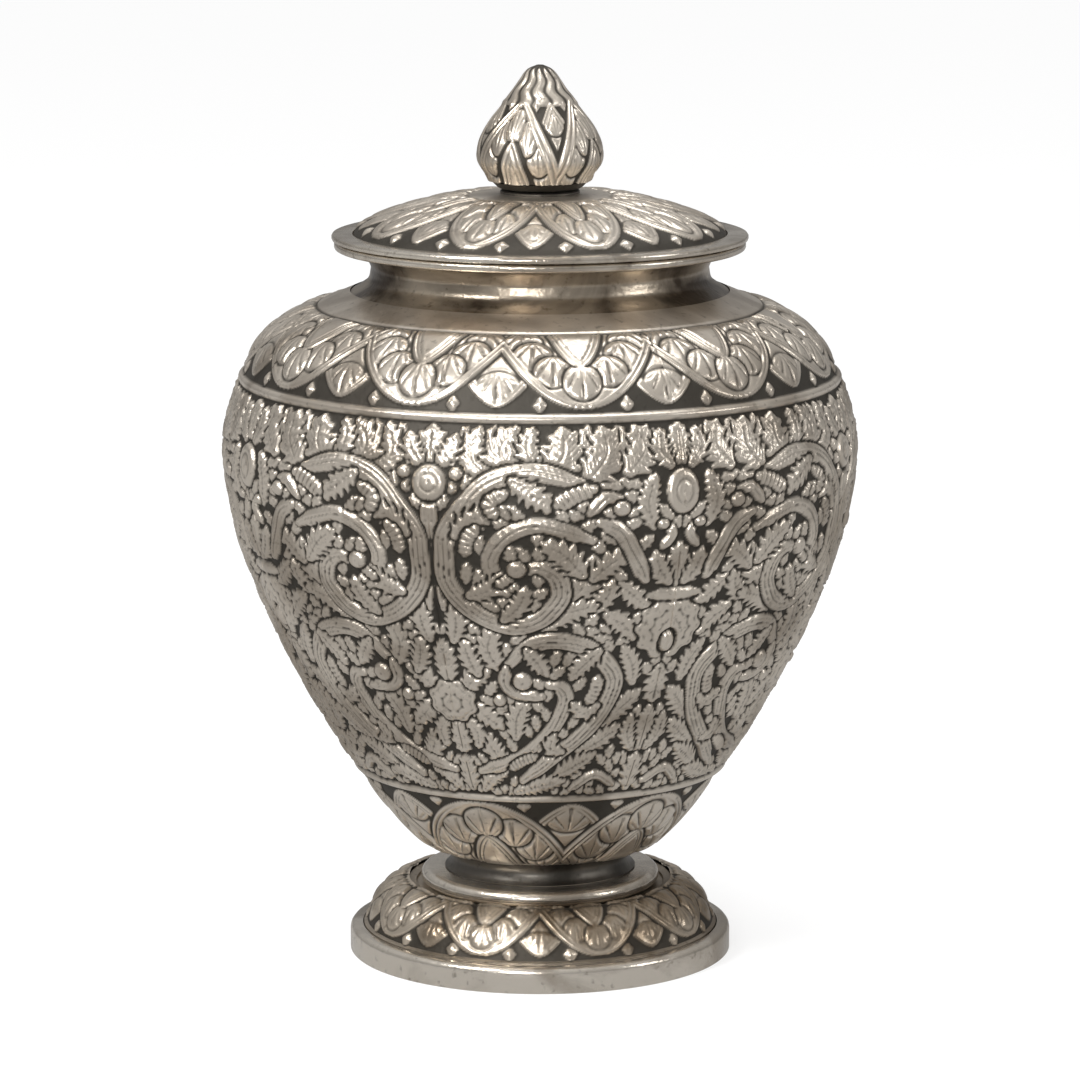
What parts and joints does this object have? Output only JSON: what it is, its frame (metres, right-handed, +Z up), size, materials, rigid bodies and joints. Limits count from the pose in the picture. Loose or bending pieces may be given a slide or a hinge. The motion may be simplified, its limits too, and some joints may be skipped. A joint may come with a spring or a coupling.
{
  "type": "lidded silver vase",
  "caption": "Bulbous chased silver vase on a spreading foot, with a flared neck, a low domed lift-off lid and a lotus-bud knob.",
  "frame": {"origin": "centre of the foot on the surface that the vase stands on", "axes": "+Z up along the axis of the vessel, the pictured side faces -Y, +X to its right"},
  "size_m": [0.1634, 0.1636, 0.2332],
  "materials": {
    "chased_silver": "chased silver with dark oxidised recesses",
    "plain_silver": "polished silver, lightly tarnished",
    "dark_silver": "tarnished silver"
  },
  "bodies": {
    "vase": {"foot_rim": "plain_silver", "foot_dome": "chased_silver", "foot_ring": "plain_silver", "foot_stem": "dark_silver", "vessel_body": "chased_silver", "neck_collar": "plain_silver", "mouth_rim": "plain_silver"},
    "lid": {"lid_rim": "plain_silver", "lid_dome": "chased_silver", "lid_bezel": "plain_silver", "finial_collar": "dark_silver", "finial_cup": "dark_silver", "finial_bud": "chased_silver"}
  },
  "joints": [
    {"name": "lid_lift", "type": "slide", "parent": "vase", "child": "lid", "axis": [0, 0, 1], "range_m": [0, 0.08]}
  ]
}
